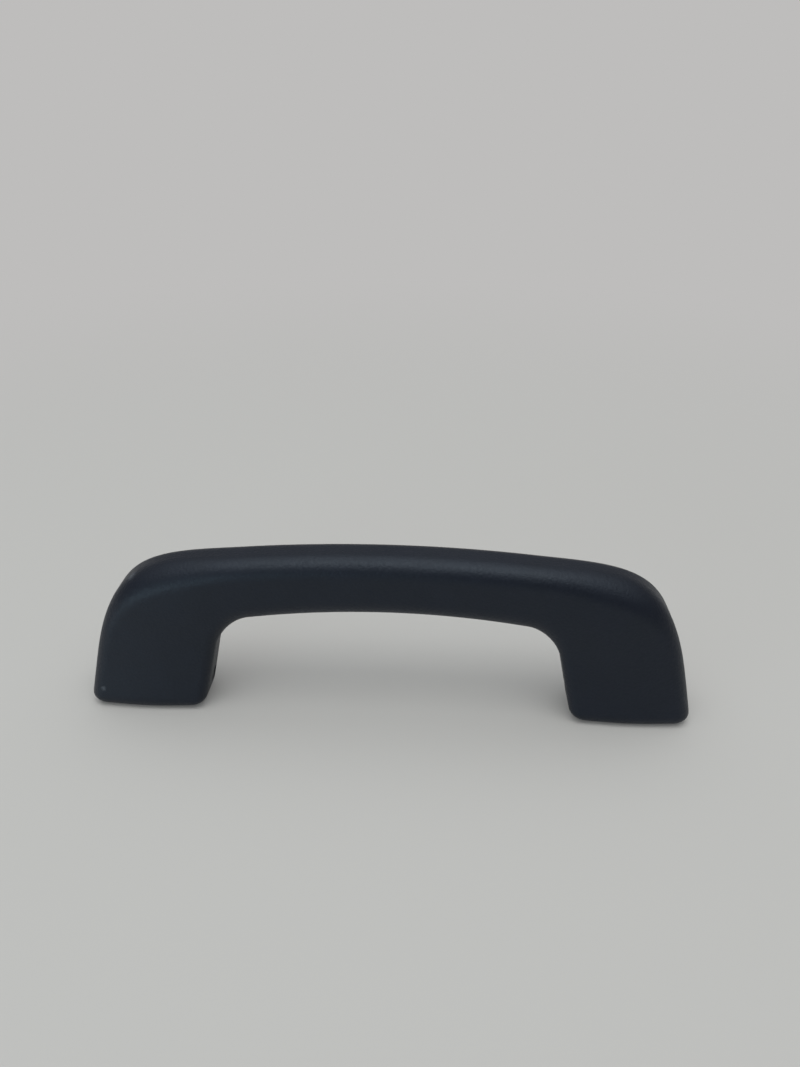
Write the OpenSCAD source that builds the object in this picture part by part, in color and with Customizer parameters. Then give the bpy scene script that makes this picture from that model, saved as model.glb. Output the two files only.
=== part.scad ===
// Folding roof grab handle for a car, in millimetres.
// x runs along the handle, y runs back into the roof, z runs up from the feet to the grip.
// The roof face is the plane y = 0, and the origin is midway between the two fixing holes.

/* [Show] */
// Which piece to draw

/* [Grip] */
// Distance between the two fixing holes
hole_spacing = 172; // [164:2:184]
// From a fixing hole to the outer end of its leg, at the foot
end_overhang = 29; // [28.5:0.5:31]
// Width of each leg at the foot
leg_width = 45; // [44:0.5:48]
// Lean of the outer leg edges, in degrees
outer_lean = 11.8; // [10:0.1:13]
// Lean of the inner leg edges, in degrees
inner_lean = 12.7; // [10:0.1:13.5]
// Height from the feet to the crown
grip_height = 64.5; // [62:0.1:69]
// Height from the feet to the middle of the arch's underside
arch_clearance = 40.9; // [40:0.1:42.5]
// Radius of the long curve along the crown
crown_radius = 652; // [580:2:1200]
// Radius of the long curve along the underside
underside_radius = 362; // [340:2:800]
// Radius of the inner corner between leg and arch
inner_corner_radius = 15.7; // [12:0.1:17]
// Height above the feet where the shoulder starts to turn
shoulder_start = 7.6; // [6:0.2:14]
// Distance from the outer end to where the shoulder meets the crown
shoulder_reach = 58; // [54:0.5:66]
// Fullness of the shoulder above the leg
shoulder_low_pull = 0.54; // [0.46:0.01:0.6]
// Fullness of the shoulder under the crown
shoulder_high_pull = 0.55; // [0.5:0.01:0.62]
// Depth of a leg at the foot
leg_depth = 25.2; // [24.6:0.1:26]
// Height above the feet where the flare of the front face ends
flare_height = 44.5; // [38:0.5:50]
// Bulge of the leg's front face
front_bulge = 0.8; // [0:0.1:1.2]
// Depth of the arch
arch_depth = 19.6; // [18:0.1:19.6]
// How far the front of the arch sits behind the front of the feet
arch_setback = 4.8; // [4:0.1:5.2]
// How far the middle of the arch bows toward the roof
arch_bow = 0.8; // [0:0.1:0.8]
// Gap between the back of the folded handle and the roof
roof_gap = 2; // [1.6:0.1:2.4]
// Edge radius around the feet
foot_edge = 5; // [4:0.5:5.5]
// Radius of the outer front edge of a leg
leg_outer_edge = 7.5; // [6:0.5:8]
// Radius of the inner front edge of a leg
leg_inner_edge = 4; // [3.5:0.5:5]
// Radius of the inner rear edge of a leg
leg_rear_inner_edge = 10.5; // [9.5:0.5:11]
// Radius of the outer rear edge of a leg
leg_rear_outer_edge = 2; // [1.5:0.1:2.4]
// Radius of the top front edge of the arch
arch_top_edge = 5; // [4:0.2:6]
// Radius of the lower front edge of the arch
arch_low_edge = 8; // [6:0.5:8.5]
// Radius of the two rear edges of the arch
arch_rear_edge = 7; // [5:0.5:8]
// Wall of the hollow legs
wall = 2.5; // [2:0.1:2.8]
// Thickness of the lip at the inner rear edge of a leg
lip = 2.2; // [1.8:0.1:2.6]
// Corner radius of the leg pockets
pocket_corner = 2.2; // [1.8:0.1:2.6]
// Share by which the outer wall of a leg thickens toward the top of its pocket
shoulder_gain = 0.25; // [0.2:0.05:0.3]
// Thickness of the ribs in the leg pockets
rib = 1.4; // [1.2:0.1:1.8]
// How far the stiffening ribs stand out from the front wall
rib_relief = 1; // [0.6:0.1:1.2]
// Distance between the stiffening ribs
rib_spacing = 8.5; // [7.5:0.5:9]

/* [Hinge] */
// Distance of the hinge axis from the roof
hinge_from_roof = 14; // [13.6:0.1:14.3]
// Height of the hinge axis above the feet
hinge_height = 8.6; // [8.5:0.1:9]
// Distance of the fixing holes above the hinge axis
fixing_above_hinge = 17.5; // [17:0.5:19]
// Radius of the hinge pins
pin_radius = 2; // [1.8:0.1:2.2]
// Radial clearance of a bore that turns on a pin
bore_clearance = 0.05; // [0.03:0.01:0.08]
// Radial clearance of a bore that a pin is held in
hold_clearance = 0.02; // [0.01:0.01:0.03]
// Radius of a pin's head
pin_head_radius = 3; // [2.6:0.1:3.2]
// Thickness of a pin's head
pin_head = 0.9; // [0.8:0.1:1.2]
// Depth of a pin's head below the leg's inner face
pin_head_depth = 0.7; // [0.5:0.1:0.9]
// Chamfer at the far end of a pin
pin_chamfer = 0.5; // [0.3:0.1:0.8]
// How far a pin enters the wall of the leg's outer face
pin_in_wall = 0.5; // [0.3:0.1:0.8]
// Radius of the bosses that hold the pins in the legs
boss_radius = 5; // [4.5:0.1:5.2]
// How far the inner boss stands out from the leg's wall
boss_height = 2.7; // [2:0.1:3]
// Thickness of the thrust washers
washer = 1.2; // [0.8:0.1:1.4]
// Running clearance between pieces that turn against each other
running_gap = 0.3; // [0.3:0.05:0.4]
// Outer radius of the thrust washers
washer_radius = 4.8; // [4.5:0.1:5]
// Outer radius of the bracket's knuckle
knuckle_radius = 4.8; // [4.5:0.1:5]
// How far the knuckle reaches outward from the fixing hole
knuckle_reach = 8.9; // [8.8:0.1:9]
// Length left for the spring or the damper beside the knuckle
coil_space = 13; // [12.6:0.1:13.2]
// Reach in front of the hinge axis of the slot that lets the bracket through the foot
slot_reach = 7.5; // [7:0.1:8]
// Clearance at each side of that slot
slot_gap = 1; // [0.8:0.1:1.2]

/* [Bracket] */
// Thickness of the bracket's base
base = 3; // [2.6:0.1:3.2]
// Clearance between a bracket and the walls of its pocket
bracket_clearance = 0.9; // [0.7:0.1:1.1]
// Clearance between the top of a bracket and the end of its pocket
top_clearance = 2; // [1.5:0.1:3]
// How far the base reaches below the hinge axis
base_below_hinge = 6; // [5:0.5:6.5]
// How far the base reaches above the fixing hole
base_above_hole = 9; // [8.5:0.5:9.5]
// Base width from the fixing hole to the outer edge
base_outer = 11; // [10.5:0.25:11.5]
// Radius of the base's corners
base_corner = 2.5; // [2:0.5:3]
// Thickness of the ribs that carry the knuckle
web = 2; // [1.8:0.1:2.2]
// How far those ribs reach above the knuckle
web_rise = 4; // [3:0.5:4.5]
// Radius of the fixing hole
hole_radius = 3.3; // [3.1:0.1:3.5]
// Outer radius of the steel sleeve
sleeve_radius = 5; // [4.6:0.1:5.2]
// Length of the steel sleeve
sleeve_length = 4.5; // [4.2:0.1:5]
// How far the sleeve stands above the plastic seat
sleeve_proud = 0.2; // [0.1:0.1:0.3]
// Radius of the recess for the bolt's head
recess_radius = 7; // [6.8:0.1:7.2]
// Wall of the boss around the recess
recess_wall = 1.5; // [1.3:0.1:1.6]
// Height of the boss above the roof face
recess_height = 13; // [12:0.2:13.2]
// Thickness of the screw cover
cover = 2.2; // [1.8:0.1:2.3]
// How far the screw cover overhangs the boss
cover_overhang = 0.6; // [0.3:0.1:0.6]
// Depth of the cover's plug in the recess
cover_plug = 3; // [2:0.5:4]
// Clearance of the plug in the recess
plug_clearance = 0.1; // [0.05:0.05:0.2]
// Wall of the cover's plug
plug_wall = 1.3; // [1:0.1:1.6]
// Chamfer around the cover
cover_edge = 0.8; // [0.4:0.1:1]
// Width of the slot for prying the cover off
pry_slot = 4; // [3:0.5:5]
// Depth of that slot
pry_depth = 1; // [0.8:0.1:1.2]

/* [Return spring] */
// Wire radius
wire_radius = 0.8; // [0.7:0.05:0.85]
// Mean radius of the coil
coil_radius = 4.9; // [4.7:0.1:5]
// Whole turns of the coil, to which three quarters of a turn are added
coil_turns = 3; // [2:1:4]
// Distance of the hooked foot behind the hinge axis
hook_behind = 7.5; // [7:0.1:7.8]
// Height of the spring's upper end above the hinge axis
spring_arm = 15; // [13:0.5:16]
// Outer radius of the spool inside the coil
spool_radius = 3.4; // [3.2:0.1:3.6]
// Flange thickness of the spool
spool_flange = 1; // [0.8:0.1:1.2]
// Gap at each end of the coil
coil_gap = 0.4; // [0.3:0.05:0.5]
// Clearance of the spring's foot in its hole
foot_clearance = 0.15; // [0.1:0.05:0.2]
// How far the spring's foot comes out of its hole
foot_proud = 0.6; // [0.4:0.1:0.8]
// From the fixing hole to the near end of the rib that the spring's arm pushes
stop_offset = 17.5; // [17:0.5:18]
// Gap between the coil and that rib
stop_gap = 1; // [0.8:0.1:1.2]

/* [Damper] */
// Gap between the damper's housing and the floor of the leg
damper_gap = 0.1; // [0.05:0.05:0.2]
// Length of the rotor's neck between the knuckle and the housing
neck_length = 1.2; // [1:0.1:1.4]
// Wall of the damper's housing
damper_wall = 1.2; // [1:0.1:1.3]
// Thickness of the damper's cap
damper_cap_thick = 1.6; // [1.4:0.1:1.8]
// Radius of the rotor's neck
neck_radius = 3.3; // [3.1:0.1:3.4]
// Section radius of the O-ring
oring_section = 0.5; // [0.4:0.05:0.5]
// Width of the tongue that keys the rotor to the bracket
tongue = 2; // [1.8:0.1:2.2]
// Depth of the tongue in the knuckle
tongue_depth = 1.4; // [1.2:0.1:1.6]
// Gap between the rotor and the end of the knuckle
tongue_gap = 0.1; // [0.05:0.05:0.2]
// Width of the fin that keys the housing to the leg
fin = 3; // [2.6:0.1:3.4]
// How far the fin stands out from the housing
fin_height = 3; // [2.5:0.1:3.5]
// Length of the fin
fin_length = 5; // [4:0.5:6]
// Distance of the fin's end from the housing's outer end
fin_setback = 1.2; // [1:0.1:1.5]

/* [Stop bumper] */
// Radius of the bumper's head
bumper_radius = 3.3; // [2.8:0.1:3.7]
// How far the bumper's head stands behind the leg
bumper_proud = 1.5; // [1.2:0.1:1.5]
// Depth of the seat under the bumper's head, behind the leg's back
bumper_seat = 3.4; // [3:0.1:4]
// Radius of the bumper's stem
bumper_stem = 2; // [1.6:0.1:2.2]
// Length of the bumper's stem
bumper_stem_length = 4; // [3:0.5:5]
// Chamfer of the bumper's head
bumper_edge = 0.8; // [0.4:0.1:1]
// Clearance around the bumper's head in its seat, and beyond its stem
bumper_gap = 0.3; // [0.2:0.05:0.4]
// Height of the bumper above the pocket's ceiling
bumper_rise = 6.5; // [5.5:0.5:7]

/* [Hidden] */
$fa = 5;
$fs = 0.4;
// How far a cut runs past what it cuts, and how deep joined solids enter each other
overlap = 0.6;
// Depth at which the pin bosses begin below the leg's surface
boss_cover = 0.3;
// How much farther out the shoulder's turn ends on the crown than on the underside
fan_lead = 2;
// Numbers of steps along the curves
straight_steps = 6;
shoulder_steps = 48;
crown_steps = 24;
pocket_steps = 5;
pocket_corner_steps = 3;
spring_steps = 20;
spring_sides = 8;
bend_steps = 4;
corner_steps = 4;
face_steps = 3;
foot_steps = 3;
leg_steps = 7;
fan_steps = 11;
arch_steps = 10;

half_length = hole_spacing / 2 + end_overhang;
hinge_y = -hinge_from_roof;
rear_radius = hinge_from_roof - roof_gap;
hinge_z = -fixing_above_hinge;
foot_z = hinge_z - hinge_height;
back_y = -roof_gap;
foot_front = back_y - leg_depth;
arch_front = foot_front + arch_setback;
outer_slope = tan(outer_lean);
inner_slope = tan(inner_lean);
slant_wall = wall / cos(inner_lean);
leg_inner = half_length - leg_width;
hole_x = hole_spacing / 2;
pocket_height = hinge_height + fixing_above_hinge + base_above_hole + top_clearance;
lip_start = hinge_y + boss_radius;
lip_slope = (leg_rear_inner_edge - lip - slant_wall) / (back_y - lip_start);

// Places along the hinge axis, from the leg's inner face outward
face_in = leg_inner - inner_slope * hinge_height;
face_out = half_length - outer_slope * hinge_height;
boss_in = face_in + slant_wall + boss_height;
washer_end = boss_in + washer;
knuckle_start = washer_end + running_gap;
knuckle_end = hole_x + knuckle_reach;
coil_start = knuckle_end + running_gap;
coil_end = coil_start + coil_space;
boss_out = coil_end + running_gap;
pin_end = face_out - wall + pin_in_wall;
pin_head_start = face_in + pin_head_depth;
pin_length = pin_end - pin_head_start;

base_top = base_above_hole;
base_foot = hinge_z - base_below_hinge;
base_low = hinge_height - base_below_hinge;
base_left = leg_inner - inner_slope * base_low + slant_wall + lip_slope * (-base - lip_start) + bracket_clearance;
base_right = hole_x + base_outer;
recess_outer = recess_radius + recess_wall;
cover_radius = recess_outer + cover_overhang;
plug_radius = recess_radius - plug_clearance;
recess_floor = sleeve_length - sleeve_proud;
hook_x = knuckle_end - web;
slot_front = hinge_y - slot_reach;
stop_x = hole_x + stop_offset;
coil_outer = coil_radius + wire_radius;
bumper_z = foot_z + pocket_height + bumper_rise;

// Places of the damper along the hinge axis
damper_start = coil_start + neck_length;
damper_end = boss_out;
damper_radius = hinge_height - wall - damper_gap;
damper_bore = damper_radius - damper_wall;
fin_end = damper_end - fin_setback;
fin_start = fin_end - fin_length;
rotor_start = damper_start + damper_cap_thick + running_gap;
rotor_end = damper_end - damper_wall - running_gap;
oring_x = damper_start + damper_cap_thick / 2;
tongue_start = knuckle_end - tongue_depth + tongue_gap;

function lerp(a, b, t) = a + (b - a) * t;
function ease(t) = t * t * (3 - 2 * t);
function cubic(a, b, c, d, t) =
    pow(1 - t, 3) * a + 3 * pow(1 - t, 2) * t * b + 3 * (1 - t) * t * t * c + pow(t, 3) * d;
function running_length(p) =
    [for (i = 0, s = 0; i < len(p); s = s + (i < len(p) - 1 ? norm(p[i + 1] - p[i]) : 0), i = i + 1) s];

// Outer edge of the right half, from the foot over the shoulder to the crown: [x, height]
shoulder_x = half_length - shoulder_reach;
crown_run = sqrt(pow(crown_radius, 2) - pow(shoulder_x, 2));
leg_top = [half_length - outer_slope * shoulder_start, shoulder_start];
crown_end = [shoulder_x, grip_height - crown_radius + crown_run];
shoulder_span = norm(crown_end - leg_top);
low_pull = leg_top + shoulder_low_pull * shoulder_span * [-sin(outer_lean), cos(outer_lean)];
high_pull = crown_end + shoulder_high_pull * shoulder_span * [crown_run, -shoulder_x] / crown_radius;
outer_edge = concat(
    [for (i = [0:straight_steps - 1]) lerp([half_length, 0], leg_top, i / straight_steps)],
    [for (i = [0:shoulder_steps - 1]) cubic(leg_top, low_pull, high_pull, crown_end, i / shoulder_steps)],
    [for (i = [0:crown_steps]) let(x = shoulder_x * (1 - i / crown_steps))
        [x, grip_height - crown_radius + sqrt(pow(crown_radius, 2) - x * x)]]
);
outer_length = running_length(outer_edge);
outer_total = outer_length[len(outer_length) - 1];
outer_x_table = [for (i = [0:len(outer_edge) - 1]) [outer_length[i], outer_edge[i][0]]];
outer_h_table = [for (i = [0:len(outer_edge) - 1]) [outer_length[i], outer_edge[i][1]]];
outer_by_h = [for (i = [0:len(outer_edge) - 1]) [outer_edge[i][1], outer_length[i]]];
outer_by_x = [for (i = [0:len(outer_edge) - 1]) [-outer_edge[i][0], outer_length[i]]];
function outer_at(s) = [lookup(s, outer_x_table), lookup(s, outer_h_table)];
function outer_x_at(h) = lookup(lookup(h, outer_by_h), outer_x_table);

// Inner edge: straight up the leg, round the inner corner, along the underside
arc_centre = [0, arch_clearance - underside_radius];
edge_normal = [-cos(inner_lean), -sin(inner_lean)];
edge_dir = [-sin(inner_lean), cos(inner_lean)];
offset_start = [leg_inner, 0] + inner_corner_radius * edge_normal - arc_centre;
along = offset_start * edge_dir;
corner_reach = underside_radius - inner_corner_radius;
corner_run = -along + sqrt(along * along - offset_start * offset_start + corner_reach * corner_reach);
corner_centre = arc_centre + offset_start + corner_run * edge_dir;
corner_tangent = corner_centre - inner_corner_radius * edge_normal;
toward_arch = (corner_centre - arc_centre) / corner_reach;
corner_angle = atan2(toward_arch[1], toward_arch[0]);
arch_meet = corner_centre + inner_corner_radius * toward_arch;
leg_straight = corner_tangent[1];

// Cross-sections as [inner point, outer point, blend from leg to arch]
fan_from = lookup(leg_straight, outer_by_h);
fan_to = lookup(-arch_meet[0] - fan_lead, outer_by_x);
leg_sections = [for (i = [0:leg_steps - 1])
    let(h = lerp(foot_edge, leg_straight, i / leg_steps))
    [[leg_inner - inner_slope * h, h], [outer_x_at(h), h], 0]];
fan_sections = [for (i = [0:fan_steps - 1])
    let(t = i / fan_steps, a = lerp(inner_lean, corner_angle, t))
    [corner_centre + inner_corner_radius * [cos(a), sin(a)], outer_at(lerp(fan_from, fan_to, t)), t]];
arch_sections = [for (i = [0:arch_steps])
    let(t = i / arch_steps, a = lerp(asin(arch_meet[0] / underside_radius), 0, t))
    [arc_centre + underside_radius * [sin(a), cos(a)], outer_at(lerp(fan_to, outer_total, t)), 1]];

function leg_front(h) = arch_front - arch_setback * pow(max(1 - h / flare_height, 0), 2);
function bow_at(x) = arch_bow * (1 - pow(x / shoulder_x, 2));
function back_limit(h) = h < hinge_height
    ? hinge_y + sqrt(pow(rear_radius, 2) - pow(hinge_height - h, 2))
    : back_y;

// Closed loop of points around one cross-section, moved in by inset on the sides and front
function section_loop(s, inset) =
    let(
        i = s[0],
        o = s[1],
        w = ease(s[2]),
        width = norm(o - i),
        u = (o - i) / width,
        bow = bow_at((i[0] + o[0]) / 2),
        front_i = lerp(leg_front(i[1]), arch_front + bow, w) + inset,
        front_o = lerp(leg_front(o[1]), arch_front + bow, w) + inset,
        back = lerp(back_y, arch_front + arch_depth + bow, w),
        r_fi = lerp(leg_inner_edge, arch_low_edge, w),
        r_fo = lerp(leg_outer_edge, arch_top_edge, w),
        r_bi = lerp(leg_rear_inner_edge, arch_rear_edge, w),
        r_bo = lerp(leg_rear_outer_edge, arch_rear_edge, w),
        corners = [
            [[inset + r_fi, front_i + r_fi], r_fi, 180],
            [[width - inset - r_fo, front_o + r_fo], r_fo, 270],
            [[width - inset - r_bo, back - r_bo], r_bo, 0],
            [[inset + r_bi, back - r_bi], r_bi, 90]
        ],
        arcs = [for (c = corners) [for (k = [0:corner_steps])
            let(a = c[2] + 90 * k / corner_steps)
            c[0] + c[1] * [cos(a), sin(a)]]],
        swell = [for (k = [1:face_steps])
            let(t = k / (face_steps + 1))
            lerp(arcs[0][corner_steps], arcs[1][0], t) - [0, front_bulge * (1 - w) * sin(180 * t)]],
        loop = concat(arcs[0], swell, arcs[1], arcs[2], arcs[3])
    )
    [for (q = loop) [
        i[0] + u[0] * q[0],
        s[2] > 0 ? q[1] : min(q[1], back_limit(i[1] + u[1] * q[0])),
        foot_z + i[1] + u[1] * q[0]
    ]];

function foot_section(h) = [[leg_inner - inner_slope * h, h], [half_length - outer_slope * h, h], 0];
foot_loops = [for (k = [0:foot_steps - 1])
    let(a = 90 * k / foot_steps)
    section_loop(foot_section(foot_edge * (1 - cos(a))), foot_edge * (1 - sin(a)))];
right_loops = concat(foot_loops, [for (s = concat(leg_sections, fan_sections, arch_sections)) section_loop(s, 0)]);
last_right = len(right_loops) - 1;
grip_loops = concat(
    right_loops,
    [for (k = [1:last_right]) [for (q = right_loops[last_right - k]) [-q[0], q[1], q[2]]]]
);

// Solid skin through a row of closed loops that all have as many points; its ends fan out from point hub
module skin(loops, hub = 0) {
    n = len(loops[0]);
    rows = len(loops);
    sides = [for (r = [0:rows - 2]) for (k = [0:n - 1])
        let(m = (k + 1) % n)
        each [
            [r * n + k, (r + 1) * n + m, r * n + m],
            [r * n + k, (r + 1) * n + k, (r + 1) * n + m]
        ]];
    first_end = [[for (k = [0:n - 1]) (hub + k) % n]];
    last_end = [[for (k = [n:-1:1]) (rows - 1) * n + (hub + k) % n]];
    polyhedron(points = [for (l = loops) each l], faces = concat(sides, first_end, last_end));
}

// Everything on the left is the right-hand piece mirrored
module on_left() {
    mirror([1, 0, 0])
        children();
}

// Rod or bore along x at the hinge axis
module on_hinge(from, to, r) {
    translate([from, hinge_y, hinge_z])
        rotate([0, 90, 0])
            cylinder(r = r, h = to - from);
}

// Rod or bore along y at a fixing hole, from depth a to depth b in front of the roof
module at_hole(a, b, r) {
    translate([hole_x, -a, 0])
        rotate([90, 0, 0])
            cylinder(r = r, h = b - a);
}

// Solid turned from a profile of [radius, length] points, along x from a place on the hinge axis
module turned_on_hinge(from, profile) {
    translate([from, hinge_y, hinge_z])
        rotate([0, 90, 0])
            rotate_extrude()
                polygon(profile);
}

// Solid turned from a profile of [radius, length] points, along -y (way 1) or y (way -1)
module turned_across(place, way, profile) {
    translate(place)
        rotate([90 * way, 0, 0])
            rotate_extrude()
                polygon(profile);
}

// Plate with round corners in the x-z plane, standing in front of y
module round_plate(x0, x1, z0, z1, r, y, t) {
    translate([0, y, 0])
        rotate([90, 0, 0])
            linear_extrude(t)
                union() {
                    translate([x0 + r, z0])
                        square([x1 - x0 - 2 * r, z1 - z0]);
                    translate([x0, z0 + r])
                        square([x1 - x0, z1 - z0 - 2 * r]);
                    for (x = [x0 + r, x1 - r], z = [z0 + r, z1 - r])
                        translate([x, z])
                            circle(r = r);
                }
}

// Rib with a profile of [y, z] points, from x to x + t
module rib_profile(x, t, points) {
    translate([x, 0, 0])
        rotate([90, 0, 90])
            linear_extrude(t)
                polygon(points);
}

// Hollow of the right leg, open at the back
module pocket() {
    skin([for (step = [0:pocket_steps])
        let(
            h = lerp(wall, pocket_height, step / pocket_steps),
            x0 = leg_inner - inner_slope * h + slant_wall,
            x1 = outer_x_at(h) - slant_wall * (1 + shoulder_gain * h / pocket_height),
            y0 = leg_front(h) + wall,
            r = pocket_corner,
            turn = [for (k = [0:pocket_corner_steps]) 90 * k / pocket_corner_steps]
        )
        concat(
            [for (a = turn) [x0 + r - r * cos(a), y0 + r - r * sin(a), foot_z + h]],
            [for (a = turn) [x1 - r + r * sin(a), y0 + r - r * cos(a), foot_z + h]],
            [
                [x1, overlap, foot_z + h],
                [x0 + lip_slope * (overlap - lip_start), overlap, foot_z + h],
                [x0, lip_start, foot_z + h]
            ]
        )]);
}

// Low upright rib on the front wall of the pocket
module stiffener(x) {
    low = leg_front(wall) + wall;
    high = leg_front(pocket_height) + wall;
    rib_profile(x, rib, [
        [low - overlap, foot_z + wall - overlap],
        [low + rib_relief, foot_z + wall - overlap],
        [high + rib_relief, foot_z + pocket_height + overlap],
        [high - overlap, foot_z + pocket_height + overlap]
    ]);
}

// Bosses for the pin, and the stiffeners of the right leg
module leg_details() {
    boss_low = hinge_height - boss_radius;
    boss_high = hinge_height + boss_radius;
    on_hinge(leg_inner - inner_slope * boss_low + boss_cover, boss_in, boss_radius);
    on_hinge(boss_out, half_length - outer_slope * boss_high - boss_cover, boss_radius);
    for (k = [-1:1])
        stiffener(hole_x + k * rib_spacing - rib / 2);
}

// Rib that the spring's upper arm pushes
module spring_stop() {
    front = hinge_y + coil_outer + bore_clearance;
    low = hinge_z + coil_outer + stop_gap;
    high = hinge_z + spring_arm;
    translate([stop_x, front, low])
        cube([outer_x_at(high - foot_z) - wall / 2 - stop_x, 2 * rib, high - low]);
}

// Two ribs on the outer wall that hold the damper housing's fin between them
module fin_ribs() {
    low = hinge_z + damper_radius + running_gap;
    high = low + fin_height;
    outer = outer_x_at(high - foot_z) - wall / 2;
    for (y = [hinge_y + fin / 2 + bore_clearance, hinge_y - fin / 2 - bore_clearance - rib])
        translate([fin_start, y, low])
            cube([outer - fin_start, rib, high - low]);
}

module grip() {
    color([0.10, 0.11, 0.14])
        difference() {
            union() {
                difference() {
                    skin(grip_loops, corner_steps + 2);
                    pocket();
                    on_left()
                        pocket();
                }
                leg_details();
                fin_ribs();
                on_left() {
                    leg_details();
                    spring_stop();
                }
            }
            leg_cuts();
            on_left()
                leg_cuts();
        }
}

// Pin bores, the slot for the bracket and the bumper's seat in the right leg
module leg_cuts() {
    on_hinge(pin_head_start, pin_end, pin_radius + hold_clearance);
    on_hinge(face_in - boss_height, pin_head_start + pin_head, pin_head_radius + hold_clearance);
    translate([knuckle_start - slot_gap, slot_front, foot_z - overlap])
        cube([base_right - knuckle_start + 2 * slot_gap, -slot_front, wall + 2 * overlap]);
    translate([hole_x, back_y - bumper_seat, bumper_z])
        rotate([-90, 0, 0])
            cylinder(r = bumper_radius + bumper_gap, h = bumper_seat + overlap);
    translate([hole_x, back_y - bumper_seat - bumper_stem_length, bumper_z])
        rotate([-90, 0, 0])
            cylinder(r = bumper_stem + hold_clearance, h = bumper_stem_length + overlap);
}

// Fixed half of a hinge, without what its own side needs
module bracket_body() {
    difference() {
        union() {
            round_plate(base_left, base_right, base_foot, base_top, base_corner, 0, base);
            at_hole(0, recess_height, recess_outer);
            on_hinge(knuckle_start, knuckle_end, knuckle_radius);
            for (x = [base_left, (base_left + hook_x) / 2, hook_x])
                rib_profile(x, web, [
                    [-base / 2, hinge_z - knuckle_radius],
                    [hinge_y, hinge_z - knuckle_radius],
                    [hinge_y, hinge_z + knuckle_radius],
                    [-base, hinge_z + knuckle_radius + web_rise],
                    [-base / 2, hinge_z + knuckle_radius + web_rise]
                ]);
        }
        at_hole(-overlap, recess_height, sleeve_radius + hold_clearance);
        at_hole(recess_floor, recess_height + overlap, recess_radius);
        on_hinge(knuckle_start - overlap, knuckle_end + overlap, pin_radius + bore_clearance);
    }
}

module left_bracket() {
    color([0.16, 0.16, 0.17])
        on_left()
            difference() {
                bracket_body();
                translate([hook_x - overlap, hinge_y + hook_behind, hinge_z + coil_radius])
                    rotate([0, 90, 0])
                        cylinder(r = wire_radius + foot_clearance, h = web + 2 * overlap);
            }
}

module right_bracket() {
    color([0.16, 0.16, 0.17])
        difference() {
            bracket_body();
            translate([knuckle_end - tongue_depth, hinge_y - knuckle_radius - overlap, hinge_z - tongue / 2])
                cube([tongue_depth + overlap, 2 * (knuckle_radius + overlap), tongue]);
        }
}

module sleeve() {
    color([0.72, 0.73, 0.75])
        difference() {
            at_hole(0, sleeve_length, sleeve_radius);
            at_hole(-overlap, sleeve_length + overlap, hole_radius);
        }
}

module screw_cover() {
    color([0.10, 0.11, 0.14])
        difference() {
            turned_across([hole_x, -recess_height, 0], 1, [
                [0, 0],
                [plug_radius - plug_wall, 0],
                [plug_radius - plug_wall, -cover_plug],
                [plug_radius, -cover_plug],
                [plug_radius, 0],
                [cover_radius, 0],
                [cover_radius, cover - cover_edge],
                [cover_radius - cover_edge, cover],
                [0, cover]
            ]);
            translate([hole_x - pry_slot / 2, -recess_height - cover_edge, cover_radius - pry_depth])
                cube([pry_slot, cover_edge + overlap, pry_depth + overlap]);
        }
}

module hinge_pin() {
    color([0.72, 0.73, 0.75])
        turned_on_hinge(pin_head_start, [
            [0, 0],
            [pin_head_radius, 0],
            [pin_head_radius, pin_head],
            [pin_radius, pin_head],
            [pin_radius, pin_length - pin_chamfer],
            [pin_radius - pin_chamfer, pin_length],
            [0, pin_length]
        ]);
}

module thrust_washer() {
    color([0.85, 0.84, 0.80])
        difference() {
            on_hinge(boss_in, washer_end, washer_radius);
            on_hinge(boss_in - overlap, washer_end + overlap, pin_radius + bore_clearance);
        }
}

// Torsion spring: a bent foot in the bracket, the coil, and an upright arm behind the grip's rib
module return_spring() {
    first = coil_start + coil_gap + wire_radius;
    last = coil_end - spool_flange - coil_gap - wire_radius;
    bend = 2 * wire_radius;
    steps = (coil_turns + 0.75) * spring_steps;
    foot = concat(
        [[hook_x - foot_proud, hook_behind, coil_radius]],
        [for (k = [0:bend_steps]) let(a = 90 * k / bend_steps)
            [first - bend + bend * sin(a), hook_behind - bend + bend * cos(a), coil_radius]]
    );
    coil = [for (k = [0:steps]) let(a = 90 + 360 * k / spring_steps)
        [lerp(first, last, k / steps), coil_radius * cos(a), coil_radius * sin(a)]];
    path = concat(foot, coil, [[last, coil_radius, spring_arm]]);
    n = len(path);
    loops = [for (k = [0:n - 1])
        let(
            in_foot = k < len(foot),
            before = k == 0 ? path[0] - (path[1] - path[0]) : path[k - 1],
            after = k == n - 1 ? path[k] + (path[k] - path[k - 1]) : path[k + 1],
            t = (after - before) / norm(after - before),
            guide = in_foot ? [0, 0, 1] : [1, 0, 0],
            b = cross(t, guide) / norm(cross(t, guide)),
            c = cross(b, t)
        )
        [for (j = [0:spring_sides - 1])
            let(a = 360 * j / spring_sides + (in_foot ? 90 : 0))
            path[k] + wire_radius * (cos(a) * c + sin(a) * b)]];
    color([0.62, 0.63, 0.65])
        on_left()
            translate([0, hinge_y, hinge_z])
                skin(loops);
}

module spring_spool() {
    color([0.85, 0.84, 0.80])
        on_left()
            difference() {
                union() {
                    on_hinge(coil_start, coil_end, spool_radius);
                    on_hinge(coil_end - spool_flange, boss_out, coil_outer);
                }
                on_hinge(coil_start - overlap, boss_out + overlap, pin_radius + bore_clearance);
            }
}

module damper_housing() {
    color([0.22, 0.22, 0.23])
        difference() {
            union() {
                on_hinge(damper_start, damper_end, damper_radius);
                translate([fin_start, hinge_y - fin / 2, hinge_z + damper_radius - overlap])
                    cube([fin_length, fin, fin_height + overlap]);
            }
            on_hinge(damper_start - overlap, damper_end - damper_wall, damper_bore);
            on_hinge(damper_start, damper_end + overlap, pin_radius + bore_clearance);
        }
}

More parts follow.
